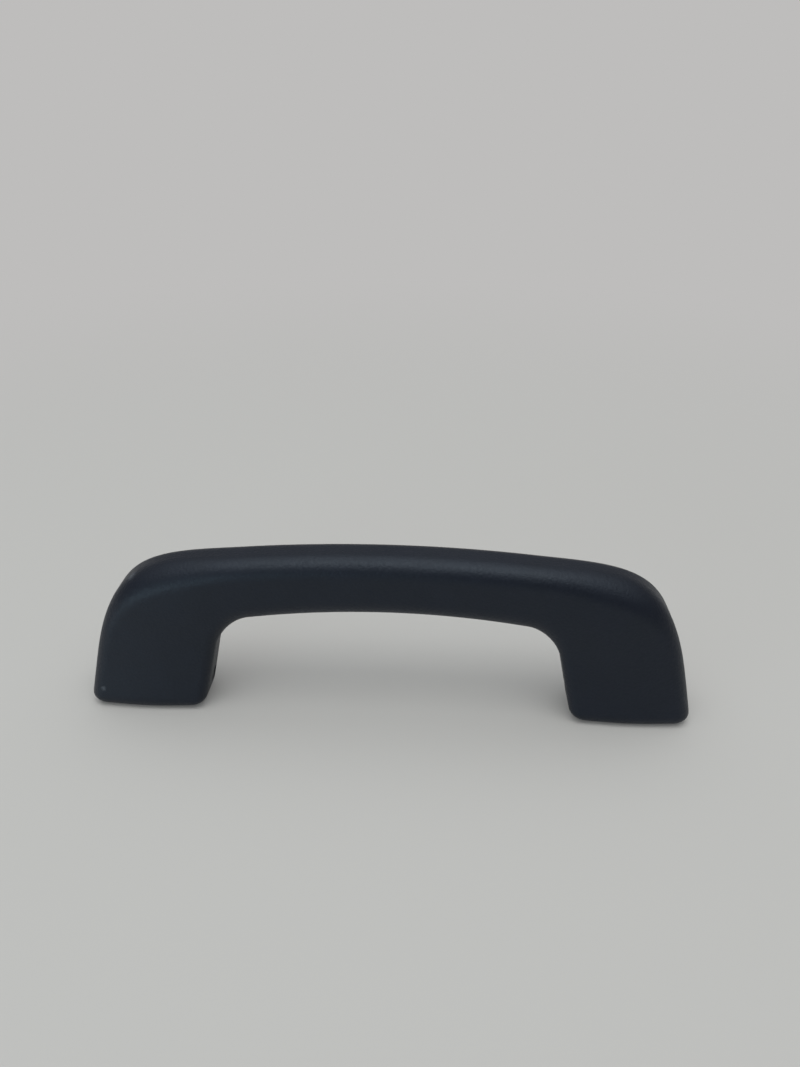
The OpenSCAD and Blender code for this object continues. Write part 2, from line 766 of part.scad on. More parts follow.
module damper_cap() {
    color([0.85, 0.84, 0.80])
        difference() {
            on_hinge(damper_start, damper_start + damper_cap_thick, damper_bore - hold_clearance);
            on_hinge(damper_start - overlap, damper_end, neck_radius + bore_clearance);
            on_hinge(oring_x - oring_section, oring_x + oring_section, neck_radius + 2 * oring_section);
        }
}

module damper_oring() {
    color([0.08, 0.08, 0.08])
        translate([oring_x, hinge_y, hinge_z])
            rotate([0, 90, 0])
                rotate_extrude()
                    translate([neck_radius + oring_section, 0])
                        circle(r = oring_section - bore_clearance);
}

module damper_rotor() {
    color([0.80, 0.79, 0.75])
        difference() {
            union() {
                on_hinge(knuckle_end + tongue_gap, rotor_start + overlap, neck_radius);
                on_hinge(rotor_start, rotor_end, damper_bore - running_gap);
                intersection() {
                    on_hinge(tongue_start, knuckle_end + overlap, knuckle_radius - running_gap);
                    translate([tongue_start, hinge_y - knuckle_radius, hinge_z - tongue / 2 + bore_clearance])
                        cube([tongue_depth + overlap, 2 * knuckle_radius, tongue - 2 * bore_clearance]);
                }
            }
            on_hinge(tongue_start - overlap, rotor_end + overlap, pin_radius + bore_clearance);
        }
}

module bumper() {
    color([0.07, 0.07, 0.07])
        turned_across([hole_x, back_y - bumper_seat, bumper_z], -1, [
            [0, bumper_gap - bumper_stem_length],
            [bumper_stem, bumper_gap - bumper_stem_length],
            [bumper_stem, 0],
            [bumper_radius, 0],
            [bumper_radius, bumper_seat + bumper_proud - bumper_edge],
            [bumper_radius - bumper_edge, bumper_seat + bumper_proud],
            [0, bumper_seat + bumper_proud]
        ]);
}

module left_sleeve() {
    on_left()
        sleeve();
}

module right_sleeve() {
    sleeve();
}

module left_screw_cover() {
    on_left()
        screw_cover();
}

module right_screw_cover() {
    screw_cover();
}

module left_hinge_pin() {
    on_left()
        hinge_pin();
}

module right_hinge_pin() {
    hinge_pin();
}

module left_washer() {
    on_left()
        thrust_washer();
}

module right_washer() {
    thrust_washer();
}

module left_bumper() {
    on_left()
        bumper();
}

module right_bumper() {
    bumper();
}

grip();
left_bracket();
right_bracket();
left_sleeve();
right_sleeve();
left_screw_cover();
right_screw_cover();
left_hinge_pin();
right_hinge_pin();
left_washer();
right_washer();
return_spring();
spring_spool();
damper_housing();
damper_rotor();
damper_cap();
damper_oring();
left_bumper();
right_bumper();
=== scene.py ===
import math

import bpy
import numpy as np
from mathutils import Matrix, Vector


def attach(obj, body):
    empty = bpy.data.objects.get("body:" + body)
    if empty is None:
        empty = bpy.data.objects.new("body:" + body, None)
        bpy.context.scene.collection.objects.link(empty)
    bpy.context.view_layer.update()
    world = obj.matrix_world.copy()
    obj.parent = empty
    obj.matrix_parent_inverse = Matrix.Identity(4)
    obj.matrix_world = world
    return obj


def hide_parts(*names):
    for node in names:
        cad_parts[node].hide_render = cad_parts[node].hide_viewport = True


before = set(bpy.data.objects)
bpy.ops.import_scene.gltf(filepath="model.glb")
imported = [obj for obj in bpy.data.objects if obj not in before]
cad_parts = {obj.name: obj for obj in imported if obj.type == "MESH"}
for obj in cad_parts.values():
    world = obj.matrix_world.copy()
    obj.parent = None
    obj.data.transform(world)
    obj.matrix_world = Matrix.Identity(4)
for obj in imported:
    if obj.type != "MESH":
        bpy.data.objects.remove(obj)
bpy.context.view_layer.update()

# Sizes are in millimetres and angles in degrees; MM turns a size to metres
MM = 0.001

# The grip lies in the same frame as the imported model: x along it, y into the roof, z up.
# Its outline from the front, with heights above the feet:
HALF_LENGTH = 115.0
LEG_WIDTH = 45.0
OUTER_LEAN = 11.8
INNER_LEAN = 12.7
GRIP_HEIGHT = 64.5
ARCH_CLEARANCE = 40.9
CROWN_RADIUS = 652.0
UNDERSIDE_RADIUS = 362.0
INNER_CORNER_RADIUS = 15.7
SHOULDER_START = 7.6
SHOULDER_REACH = 58.0
SHOULDER_LOW_PULL = 0.54
SHOULDER_HIGH_PULL = 0.55
FEET_Z = -26.1

# The cross-sections fan out round the inner corner; the last one meets the outer edge this much
# further from the middle than it meets the underside
FAN_LEAD = 2.0

# Its depth, and the curves of its front face
BACK_Y = -2.0
LEG_DEPTH = 25.2
FLARE_HEIGHT = 44.5
FRONT_BULGE = 0.8
ARCH_DEPTH = 19.6
ARCH_SETBACK = 4.8
ARCH_BOW = 0.8

# Radii of its edges
FOOT_EDGE = 5.0
LEG_INNER_EDGE = 4.0
LEG_REAR_INNER_EDGE = 10.5
LEG_REAR_OUTER_EDGE = 2.0
ARCH_LOW_EDGE = 8.0
ARCH_REAR_EDGE = 7.0

# Radius of the outer front edge, fitted to the width of the photo's highlight: in the leg, in
# the arch, and how much rounder it is midway round the shoulder
LEG_OUTER_EDGE = 6.0
ARCH_TOP_EDGE = 7.0
SHOULDER_EDGE_GAIN = 4.5

# The hollow in each leg, whose outer wall thickens toward the shoulder, and its ribs
WALL = 2.5
LIP = 2.2
POCKET_HEIGHT = 37.1
POCKET_CORNER = 2.2
SHOULDER_WALL_GAIN = 0.25
RIB = 1.4
RIB_RELIEF = 1.0
RIB_SPACING = 8.5
BOSS_COVER = 0.3

# How far solids that are joined or cut reach past each other, so that none only touch
OVERLAP = 0.6

# The hinge and what sits along it in the right leg
HINGE_Y = -14.0
HINGE_Z = -17.5
HINGE_HEIGHT = HINGE_Z - FEET_Z
HOLE_X = 86.0
PIN_BORE = 2.02
PIN_HEAD_BORE = 3.02
PIN_HEAD = 0.9
PIN_HEAD_DEPTH = 0.7
BOSS_RADIUS = 5.0
BOSS_HEIGHT = 2.7
WASHER = 1.2
RUNNING_GAP = 0.3
PIN_IN_WALL = 0.5
KNUCKLE_END = HOLE_X + 8.9
COIL_SPACE = 13.0
SLOT_FRONT = HINGE_Y - 7.5
SLOT_GAP = 1.0
BASE_OUTER = 11.0
DAMPER_RADIUS = 6.0
FIN = 3.0
FIN_HEIGHT = 3.0
FIN_LENGTH = 5.0
FIN_SETBACK = 1.2
BORE_GAP = 0.05

# The return spring
WIRE_RADIUS = 0.8
COIL_RADIUS = 4.9
COIL_TURNS = 3.75
HOOK_BEHIND = 7.5
SPRING_ARM = 15.0
SPOOL_FLANGE = 1.0
COIL_GAP = 0.4
WEB = 2.0
FOOT_PROUD = 0.6
STOP_X = HOLE_X + 17.5
STOP_GAP = 1.0

# The bumper's seat in the back of the leg
BUMPER_SEAT = 3.4
BUMPER_BORE = 3.6
BUMPER_STEM_BORE = 2.02
BUMPER_STEM_LENGTH = 4.0
BUMPER_Z = FEET_Z + POCKET_HEIGHT + 6.5

# Rubbed places of the lacquer, each with its reach: the left foot's corner, the left shoulder
WORN_PLACES = [((-107.9, -25.5, -17.9), 2.0), ((-94.3, -14.0, 26.2), 4.0)]

# How finely the grip's curves are cut
CORNER_STEPS = 10
FACE_STEPS = 8
SIDE_STEPS = 4
FOOT_STEPS = 8
LEG_STEPS = 14
FAN_STEPS = 40
ARCH_STEPS = 40
OUTLINE_STEPS = 240
POCKET_STEPS = 16
POCKET_CORNER_STEPS = 6
LATHE_STEPS = 48
COIL_STEPS = 40
BEND_STEPS = 8
WIRE_ROUNDNESS = 5
SHARP_EDGE = 32

OUTER_SLOPE = math.tan(math.radians(OUTER_LEAN))
INNER_SLOPE = math.tan(math.radians(INNER_LEAN))
SLANT_WALL = WALL / math.cos(math.radians(INNER_LEAN))
LEG_INNER = HALF_LENGTH - LEG_WIDTH
FOOT_FRONT = BACK_Y - LEG_DEPTH
ARCH_FRONT = FOOT_FRONT + ARCH_SETBACK
FACE_IN = LEG_INNER - INNER_SLOPE * HINGE_HEIGHT
FACE_OUT = HALF_LENGTH - OUTER_SLOPE * HINGE_HEIGHT
BOSS_IN = FACE_IN + SLANT_WALL + BOSS_HEIGHT
KNUCKLE_START = BOSS_IN + WASHER + RUNNING_GAP
COIL_START = KNUCKLE_END + RUNNING_GAP
COIL_END = COIL_START + COIL_SPACE
BOSS_OUT = COIL_END + RUNNING_GAP
LIP_START = HINGE_Y + BOSS_RADIUS
LIP_SLOPE = (LEG_REAR_INNER_EDGE - LIP - SLANT_WALL) / (BACK_Y - LIP_START)


# Curves of the grip


def lerp(a, b, t):
    return a + (b - a) * t


def ease(t):
    return t * t * (3 - 2 * t)


def unit(degrees):
    """Unit vector at that angle."""
    return np.array([math.cos(math.radians(degrees)), math.sin(math.radians(degrees))])


class OuterEdge:
    """The outline from the foot over the shoulder to the crown, read by the length along it."""

    def __init__(self):
        shoulder_x = HALF_LENGTH - SHOULDER_REACH
        crown_run = math.sqrt(CROWN_RADIUS**2 - shoulder_x**2)
        leg_top = np.array([HALF_LENGTH - OUTER_SLOPE * SHOULDER_START, SHOULDER_START])
        crown_end = np.array([shoulder_x, GRIP_HEIGHT - CROWN_RADIUS + crown_run])
        span = np.linalg.norm(crown_end - leg_top)
        low = leg_top + SHOULDER_LOW_PULL * span * unit(90 + OUTER_LEAN)
        toward_leg = np.array([crown_run, -shoulder_x]) / CROWN_RADIUS
        high = crown_end + SHOULDER_HIGH_PULL * span * toward_leg
        t = np.linspace(0, 1, OUTLINE_STEPS)[:, None]
        leg = lerp(np.array([HALF_LENGTH, 0.0]), leg_top, t[:-1])
        shoulder = (
            (1 - t) ** 3 * leg_top
            + 3 * (1 - t) ** 2 * t * low
            + 3 * (1 - t) * t**2 * high
            + t**3 * crown_end
        )
        x = lerp(shoulder_x, 0.0, t[1:, 0])
        crown = np.stack([x, GRIP_HEIGHT - CROWN_RADIUS + np.sqrt(CROWN_RADIUS**2 - x**2)], axis=1)
        self.shoulder_x = shoulder_x
        self.points = np.vstack([leg, shoulder, crown])
        steps = np.linalg.norm(np.diff(self.points, axis=0), axis=1)
        self.length = np.concatenate([[0.0], np.cumsum(steps)])

    def at(self, length):
        return np.array([np.interp(length, self.length, self.points[:, k]) for k in (0, 1)])

    def length_at_height(self, height):
        return np.interp(height, self.points[:, 1], self.length)

    def length_at_x(self, x):
        return np.interp(-x, -self.points[:, 0], self.length)

    def x_at_height(self, height):
        return self.at(self.length_at_height(height))[0]


OUTER = OuterEdge()


def leg_front(height):
    return ARCH_FRONT - ARCH_SETBACK * max(1 - height / FLARE_HEIGHT, 0.0) ** 2


def back_limit(height):
    """The back of a leg, rounded about the hinge near the foot."""
    if height >= HINGE_HEIGHT:
        return BACK_Y
    radius = BACK_Y - HINGE_Y
    return HINGE_Y + math.sqrt(max(radius**2 - (HINGE_HEIGHT - height) ** 2, 0.0))


def section_loop(inner, outer, blend, inset=0.0):
    """Closed loop around one cross-section; blend runs from 0 in the leg to 1 in the arch."""
    inner, outer = np.array(inner), np.array(outer)
    w = ease(blend)
    width = np.linalg.norm(outer - inner)
    u = (outer - inner) / width
    middle = (inner[0] + outer[0]) / 2
    bow = ARCH_BOW * (1 - (middle / OUTER.shoulder_x) ** 2)
    front_i = lerp(leg_front(inner[1]), ARCH_FRONT + bow, w) + inset
    front_o = lerp(leg_front(outer[1]), ARCH_FRONT + bow, w) + inset
    back = lerp(BACK_Y, ARCH_FRONT + ARCH_DEPTH + bow, w)
    r_fi = lerp(LEG_INNER_EDGE, ARCH_LOW_EDGE, w)
    shoulder = math.sin(math.pi * blend) ** 2
    r_fo = lerp(LEG_OUTER_EDGE, ARCH_TOP_EDGE, w) + SHOULDER_EDGE_GAIN * shoulder
    r_bi = lerp(LEG_REAR_INNER_EDGE, ARCH_REAR_EDGE, w)
    r_bo = lerp(LEG_REAR_OUTER_EDGE, ARCH_REAR_EDGE, w)
    corners = [
        ((inset + r_fi, front_i + r_fi), r_fi, 180, FACE_STEPS),
        ((width - inset - r_fo, front_o + r_fo), r_fo, 270, SIDE_STEPS),
        ((width - inset - r_bo, back - r_bo), r_bo, 0, FACE_STEPS),
        ((inset + r_bi, back - r_bi), r_bi, 90, SIDE_STEPS),
    ]
    arcs = [
        [np.array(c) + r * unit(start + 90 * k / CORNER_STEPS) for k in range(CORNER_STEPS + 1)]
        for c, r, start, _ in corners
    ]
    loop = []
    for side, arc in enumerate(arcs):
        steps = corners[side][3]
        following = arcs[(side + 1) % 4][0]
        loop += arc
        for k in range(1, steps):
            t = k / steps
            swell = FRONT_BULGE * (1 - w) * math.sin(math.pi * t) if side == 0 else 0.0
            loop.append(lerp(arc[-1], following, t) - np.array([0.0, swell]))
    points = []
    for across, y in loop:
        x, height = inner + u * across
        if blend == 0:
            y = min(y, back_limit(height))
        points.append((x, y, FEET_Z + height))
    return points


def grip_loops():
    """Loops from the right foot round to the left one."""
    centre = np.array([0.0, ARCH_CLEARANCE - UNDERSIDE_RADIUS])
    normal = -unit(INNER_LEAN)
    along = unit(90 + INNER_LEAN)
    start = np.array([LEG_INNER, 0.0]) + INNER_CORNER_RADIUS * normal - centre
    reach = UNDERSIDE_RADIUS - INNER_CORNER_RADIUS
    dot = start @ along
    run = -dot + math.sqrt(dot**2 - start @ start + reach**2)
    corner = centre + start + run * along
    leg_straight = (corner - INNER_CORNER_RADIUS * normal)[1]
    toward_arch = (corner - centre) / reach
    corner_angle = math.degrees(math.atan2(toward_arch[1], toward_arch[0]))
    arch_meet = corner + INNER_CORNER_RADIUS * toward_arch
    arch_angle = math.asin(arch_meet[0] / UNDERSIDE_RADIUS)
    fan_from = OUTER.length_at_height(leg_straight)
    fan_to = OUTER.length_at_x(arch_meet[0] + FAN_LEAD)

    loops = []
    for k in range(FOOT_STEPS):
        a = math.radians(90 * k / FOOT_STEPS)
        h = FOOT_EDGE * (1 - math.cos(a))
        ends = (LEG_INNER - INNER_SLOPE * h, h), (HALF_LENGTH - OUTER_SLOPE * h, h)
        loops.append(section_loop(*ends, 0, FOOT_EDGE * (1 - math.sin(a))))
    for k in range(LEG_STEPS):
        h = lerp(FOOT_EDGE, leg_straight, k / LEG_STEPS)
        loops.append(section_loop((LEG_INNER - INNER_SLOPE * h, h), (OUTER.x_at_height(h), h), 0))
    for k in range(FAN_STEPS):
        t = k / FAN_STEPS
        inner = corner + INNER_CORNER_RADIUS * unit(lerp(INNER_LEAN, corner_angle, t))
        loops.append(section_loop(inner, OUTER.at(lerp(fan_from, fan_to, t)), t))
    for k in range(ARCH_STEPS + 1):
        t = k / ARCH_STEPS
        a = arch_angle * (1 - t)
        inner = centre + UNDERSIDE_RADIUS * np.array([math.sin(a), math.cos(a)])
        loops.append(section_loop(inner, OUTER.at(lerp(fan_to, OUTER.length[-1], t)), 1))
    right = np.array(loops)
    left = right[-2::-1] * np.array([-1.0, 1.0, 1.0])
    return np.vstack([right, left])


# Mesh helpers


class Shell:
    """Vertices and faces of one or more closed shells, in millimetres."""

    def __init__(self):
        self.verts = []
        self.faces = []

    def add(self, verts, faces):
        base = len(self.verts)
        self.verts += [tuple(v) for v in verts]
        self.faces += [tuple(base + k for k in f) for f in faces]

    def skin(self, loops):
        """Closed skin through a row of loops with as many points each."""
        rows, n = len(loops), len(loops[0])
        faces = [
            (r * n + k, r * n + (k + 1) % n, (r + 1) * n + (k + 1) % n, (r + 1) * n + k)
            for r in range(rows - 1)
            for k in range(n)
        ]
        faces.append(tuple(reversed(range(n))))
        faces.append(tuple(range((rows - 1) * n, rows * n)))
        self.add(np.array(loops).reshape(-1, 3), faces)

    def lathe(self, profile, origin, axis):
        """Closed solid turned from [place along axis, radius] points, about an axis of x or y."""
        loops = []
        for place, radius in profile:
            ring = []
            for k in range(LATHE_STEPS):
                a, b = radius * unit(360 * k / LATHE_STEPS)
                ring.append((place, a, b) if axis == "x" else (b, place, a))
            loops.append(np.array(ring) + np.array(origin))
        self.skin(loops)

    def block(self, low, high):
        (x0, y0, z0), (x1, y1, z1) = low, high
        square = [(x0, y0), (x1, y0), (x1, y1), (x0, y1)]
        self.skin([[(x, y, z) for x, y in square] for z in (z0, z1)])

    def prism(self, x0, x1, outline):
        """Solid between x0 and x1 with an outline of [y, z] points, anticlockwise seen from +x."""
        self.skin([[(x, y, z) for y, z in outline] for x in (x0, x1)])

    def mirrored(self):
        other = Shell()
        other.add([(-x, y, z) for x, y, z in self.verts], [tuple(reversed(f)) for f in self.faces])
        return other

    def join(self, other):
        self.add(other.verts, other.faces)
        return self

    def object(self, name):
        mesh = bpy.data.meshes.new(name)
        mesh.from_pydata([tuple(MM * c for c in v) for v in self.verts], [], self.faces)
        mesh.update()
        piece = bpy.data.objects.new(name, mesh)
        bpy.context.scene.collection.objects.link(piece)
        return piece


def apply_modifiers(piece):
    """Bakes the piece's modifiers into its mesh."""
    graph = bpy.context.evaluated_depsgraph_get()
    mesh = bpy.data.meshes.new_from_object(piece.evaluated_get(graph))
    old = piece.data
    piece.modifiers.clear()
    piece.data = mesh
    bpy.data.meshes.remove(old)


def combine(piece, shell, operation):
    """Cuts a shell out of the piece or adds it to it."""
    tool = shell.object("tool")
    step = piece.modifiers.new("combine", "BOOLEAN")
    step.operation = operation
    step.object = tool
    step.solver = "EXACT"
    apply_modifiers(piece)
    bpy.data.objects.remove(tool)


def smooth(piece):
    """Smooth shading that keeps the sharp edges."""
    piece.data.shade_smooth()
    piece.data.set_sharp_from_angle(angle=math.radians(SHARP_EDGE))


# Hollows, ribs and bores of the legs


def pocket():
    """Hollow of the right leg, open at the back."""
    loops = []
    r = POCKET_CORNER
    turns = [90 * k / POCKET_CORNER_STEPS for k in range(POCKET_CORNER_STEPS + 1)]
    for t in np.linspace(0, 1, POCKET_STEPS):
        h = lerp(WALL, POCKET_HEIGHT, t)
        x0 = LEG_INNER - INNER_SLOPE * h + SLANT_WALL
        x1 = OUTER.x_at_height(h) - SLANT_WALL * (1 + SHOULDER_WALL_GAIN * h / POCKET_HEIGHT)
        y0 = leg_front(h) + WALL
        near = [np.array([x0 + r, y0 + r]) + r * unit(180 + turn) for turn in turns]
        far = [np.array([x1 - r, y0 + r]) + r * unit(270 + turn) for turn in turns]
        back = [(x1, OVERLAP), (x0 + LIP_SLOPE * (OVERLAP - LIP_START), OVERLAP), (x0, LIP_START)]
        loops.append([(x, y, FEET_Z + h) for x, y in [*near, *far, *back]])
    shell = Shell()
    shell.skin(loops)
    return shell


def leg_details():
    """Bosses for the pin and stiffeners on the front wall of the right leg."""
    shell = Shell()
    origin = (0.0, HINGE_Y, HINGE_Z)
    boss_low = HINGE_HEIGHT - BOSS_RADIUS
    boss_high = HINGE_HEIGHT + BOSS_RADIUS
    inner = LEG_INNER - INNER_SLOPE * boss_low + BOSS_COVER
    outer = HALF_LENGTH - OUTER_SLOPE * boss_high - BOSS_COVER
    shell.lathe([(inner, BOSS_RADIUS), (BOSS_IN, BOSS_RADIUS)], origin, "x")
    shell.lathe([(BOSS_OUT, BOSS_RADIUS), (outer, BOSS_RADIUS)], origin, "x")
    low, high = leg_front(WALL) + WALL, leg_front(POCKET_HEIGHT) + WALL
    bottom, top = FEET_Z + WALL - OVERLAP, FEET_Z + POCKET_HEIGHT + OVERLAP
    for place in (-1, 0, 1):
        x = HOLE_X + place * RIB_SPACING - RIB / 2
        outline = [
            (low - OVERLAP, bottom),
            (low + RIB_RELIEF, bottom),
            (high + RIB_RELIEF, top),
            (high - OVERLAP, top),
        ]
        shell.prism(x, x + RIB, outline)
    return shell


def fin_ribs():
    """The pair of ribs on the outer wall that holds the damper housing's fin."""
    shell = Shell()
    low = HINGE_Z + DAMPER_RADIUS + RUNNING_GAP
    high = low + FIN_HEIGHT
    outer = OUTER.x_at_height(high - FEET_Z) - WALL / 2
    start = BOSS_OUT - FIN_SETBACK - FIN_LENGTH
    for y in (HINGE_Y + FIN / 2 + BORE_GAP, HINGE_Y - FIN / 2 - BORE_GAP - RIB):
        shell.block((start, y, low), (outer, y + RIB, high))
    return shell


def spring_stop():
    """The rib that the spring's upper arm pushes, for the left leg once mirrored."""
    shell = Shell()
    front = HINGE_Y + COIL_RADIUS + WIRE_RADIUS + BORE_GAP
    low = HINGE_Z + COIL_RADIUS + WIRE_RADIUS + STOP_GAP
    high = HINGE_Z + SPRING_ARM
    outer = OUTER.x_at_height(high - FEET_Z) - WALL / 2
    shell.block((STOP_X, front, low), (outer, front + 2 * RIB, high))
    return shell


def leg_cuts():
    """Pin bores, the slot for the bracket and the bumper's seat in the right leg."""
    shell = Shell()
    head = FACE_IN + PIN_HEAD_DEPTH + PIN_HEAD
    pin = [
        (FACE_IN - BOSS_HEIGHT, PIN_HEAD_BORE),
        (head, PIN_HEAD_BORE),
        (head, PIN_BORE),
        (FACE_OUT - WALL + PIN_IN_WALL, PIN_BORE),
    ]
    shell.lathe(pin, (0.0, HINGE_Y, HINGE_Z), "x")
    slot_low = (KNUCKLE_START - SLOT_GAP, SLOT_FRONT, FEET_Z - OVERLAP)
    slot_high = (HOLE_X + BASE_OUTER + SLOT_GAP, 0.0, FEET_Z + WALL + OVERLAP)
    shell.block(slot_low, slot_high)
    seat = BACK_Y - BUMPER_SEAT
    bumper = [
        (seat - BUMPER_STEM_LENGTH, BUMPER_STEM_BORE),
        (seat, BUMPER_STEM_BORE),
        (seat, BUMPER_BORE),
        (BACK_Y + OVERLAP, BUMPER_BORE),
    ]
    shell.lathe(bumper, (HOLE_X, 0.0, BUMPER_Z), "y")
    return shell


def make_grip():
    """The moulding: its skin, less the hollows, with the details inside, less the bores."""
    body = Shell()
    body.skin(grip_loops())
    piece = body.object("grip_moulding")
    hollow = pocket()
    combine(piece, hollow.join(hollow.mirrored()), "DIFFERENCE")
    details = leg_details()
    left_details = details.mirrored()
    details.join(fin_ribs()).join(left_details).join(spring_stop().mirrored())
    combine(piece, details, "UNION")
    cuts = leg_cuts()
    combine(piece, cuts.join(cuts.mirrored()), "DIFFERENCE")
    smooth(piece)
    return piece


def spring_path():
    """Centre line of the wire from the hinge axis: the hooked foot, the coil and the upper arm."""
    first = COIL_START + COIL_GAP + WIRE_RADIUS
    last = COIL_END - SPOOL_FLANGE - COIL_GAP - WIRE_RADIUS
    bend = 2 * WIRE_RADIUS
    path = [(KNUCKLE_END - WEB - FOOT_PROUD, HOOK_BEHIND, COIL_RADIUS)]
    for k in range(BEND_STEPS + 1):
        c, s = unit(90 - 90 * k / BEND_STEPS)
        path.append((first - bend + bend * c, HOOK_BEHIND - bend + bend * s, COIL_RADIUS))
    steps = int(COIL_TURNS * COIL_STEPS)
    for k in range(steps + 1):
        c, s = unit(90 + 360 * k / COIL_STEPS)
        path.append((lerp(first, last, k / steps), COIL_RADIUS * c, COIL_RADIUS * s))
    path.append((last, COIL_RADIUS, SPRING_ARM))
    return path


def make_spring():
    """Round wire in the left leg, along the mirrored path."""
    path = spring_path()
    curve = bpy.data.curves.new("return_spring_wire", "CURVE")
    curve.dimensions = "3D"
    curve.bevel_depth = WIRE_RADIUS * MM
    curve.bevel_resolution = WIRE_ROUNDNESS
    curve.use_fill_caps = True
    line = curve.splines.new("POLY")
    line.points.add(len(path) - 1)
    for point, (x, y, z) in zip(line.points, path):
        point.co = (-x * MM, (HINGE_Y + y) * MM, (HINGE_Z + z) * MM, 1.0)
    wire = bpy.data.objects.new("return_spring_wire", curve)
    bpy.context.scene.collection.objects.link(wire)
    graph = bpy.context.evaluated_depsgraph_get()
    mesh = bpy.data.meshes.new_from_object(wire.evaluated_get(graph))
    bpy.data.objects.remove(wire)
    mesh.shade_smooth()
    piece = bpy.data.objects.new("return_spring_wire", mesh)
    bpy.context.scene.collection.objects.link(piece)
    return piece


# Materials

# Colour sockets of a mix node, whose names it shares with its other kinds
MIX_FACTOR, MIX_FIRST, MIX_SECOND, MIX_RESULT = 0, 6, 7, 2

# Range that holds nearly all of a noise node's values
NOISE_LOW, NOISE_HIGH = 0.3, 0.7


def linear(hex_colour):
    """sRGB hex to linear RGBA."""
    values = [int(hex_colour[k : k + 2], 16) / 255 for k in (1, 3, 5)]
    return [v / 12.92 if v <= 0.04045 else ((v + 0.055) / 1.055) ** 2.4 for v in values] + [1.0]


def scale_for(size_mm):
    """Texture scale, in object coordinates of metres, for a feature of that size."""
    return 1 / (size_mm * MM)


def add_node(tree, kind, settings=None, values=None, links=None):
    """Adds a node with its settings, its socket values and its links: {socket: (node, output)}."""
    made = tree.nodes.new(kind)
    for name, value in (settings or {}).items():
        setattr(made, name, value)
    for name, value in (values or {}).items():
        made.inputs[name].default_value = value
    for name, (source, output) in (links or {}).items():
        tree.links.new(source.outputs[output], made.inputs[name])
    return made


def math_node(tree, operation, first, second):
    """Adds a sum, product or the like of two outputs."""
    return add_node(tree, "ShaderNodeMath", {"operation": operation}, links={0: first, 1: second})


def new_material(name, values):
    """A material with a plain shader; returns it with its tree and its shader."""
    material = bpy.data.materials.new(name)
    material.use_nodes = True
    tree = material.node_tree
    shader = tree.nodes["Principled BSDF"]
    for socket, value in values.items():
        shader.inputs[socket].default_value = value
    return material, tree, shader


def grain(tree, size_mm, detail=2.0):
    """Noise over the surface with features of about that size."""
    place = add_node(tree, "ShaderNodeTexCoord")
    return add_node(
        tree,
        "ShaderNodeTexNoise",
        values={"Scale": scale_for(size_mm), "Detail": detail},
        links={"Vector": (place, "Object")},
    )


def cloud(tree, noise, dark, light):
    """Colour that drifts between two tones with the noise."""
    ramp = add_node(tree, "ShaderNodeValToRGB", links={"Fac": (noise, "Fac")})
    ends = ramp.color_ramp.elements
    ends[0].position, ends[0].color = NOISE_LOW, linear(dark)
    ends[1].position, ends[1].color = NOISE_HIGH, linear(light)
    return ramp


def tint(tree, noise, shader, dark, light):
    """Lets the shader's colour drift between two tones with the noise."""
    tree.links.new(cloud(tree, noise, dark, light).outputs["Color"], shader.inputs["Base Color"])


def roughen(tree, noise, shader, low, high):
    """Moves the shader's roughness between two levels with the noise."""
    level = add_node(
        tree,
        "ShaderNodeMapRange",
        values={"From Min": NOISE_LOW, "From Max": NOISE_HIGH, "To Min": low, "To Max": high},
        links={"Value": (noise, "Fac")},
    )
    tree.links.new(level.outputs["Result"], shader.inputs["Roughness"])


def relief(tree, noise, shader, depth_mm):
    """Raises the surface by the noise."""
    bump = add_node(
        tree, "ShaderNodeBump", values={"Distance": depth_mm * MM}, links={"Height": (noise, "Fac")}
    )
    tree.links.new(bump.outputs["Normal"], shader.inputs["Normal"])


def nearness(tree, place, point, reach):
    """1 at a point of the handle, falling to 0 at its reach."""
    away = add_node(
        tree,
        "ShaderNodeVectorMath",
        {"operation": "DISTANCE"},
        {1: Vector(point) * MM},
        {0: (place, "Object")},
    )
    return add_node(
        tree,
        "ShaderNodeMapRange",
        values={"From Min": reach * MM, "From Max": 0.0},
        links={"Value": (away, "Value")},
    )


def worn_places(tree, noise):
    """1 where the lacquer is rubbed through, broken up by the noise, and 0 elsewhere."""
    place = add_node(tree, "ShaderNodeTexCoord")
    corner, shoulder = [nearness(tree, place, *worn) for worn in WORN_PLACES]
    both = math_node(tree, "MAXIMUM", (corner, "Result"), (shoulder, "Result"))
    patchy = math_node(tree, "MULTIPLY", (both, "Value"), (noise, "Fac"))
    return add_node(
        tree,
        "ShaderNodeMapRange",
        {"interpolation_type": "SMOOTHSTEP"},
        {"From Min": 0.16, "From Max": 0.48},
        {"Value": (patchy, "Value")},
    )


def soft_touch():
    """Polypropylene sprayed with matt lacquer: blue-black, a dull sheen broken by fine grain."""
    finish = {"IOR": 1.45, "Specular Tint": linear("#e3f2ff")}
    material, tree, shader = new_material("soft_touch_lacquer", finish)
    skin = grain(tree, 1.0, 4.0)
    tone = cloud(tree, grain(tree, 12.0), "#0f121d", "#111420")
    worn = worn_places(tree, grain(tree, 0.35))
    colour = add_node(
        tree,
        "ShaderNodeMix",
        {"data_type": "RGBA"},
        {MIX_SECOND: linear("#474b52")},
        {MIX_FACTOR: (worn, "Result"), MIX_FIRST: (tone, "Color")},
    )
    tree.links.new(colour.outputs[MIX_RESULT], shader.inputs["Base Color"])
    roughen(tree, skin, shader, 0.4, 0.52)
    relief(tree, skin, shader, 0.14)
    return material


def grained_cover():
    """Polypropylene with a spark-eroded grain, bare: as dark as the lacquer, but drier."""
    material, tree, shader = new_material("grained_polypropylene", {"IOR": 1.49})
    skin = grain(tree, 0.6, 3.0)
    tint(tree, skin, shader, "#0f1118", "#151720")
    roughen(tree, skin, shader, 0.5, 0.62)
    relief(tree, skin, shader, 0.06)
    return material


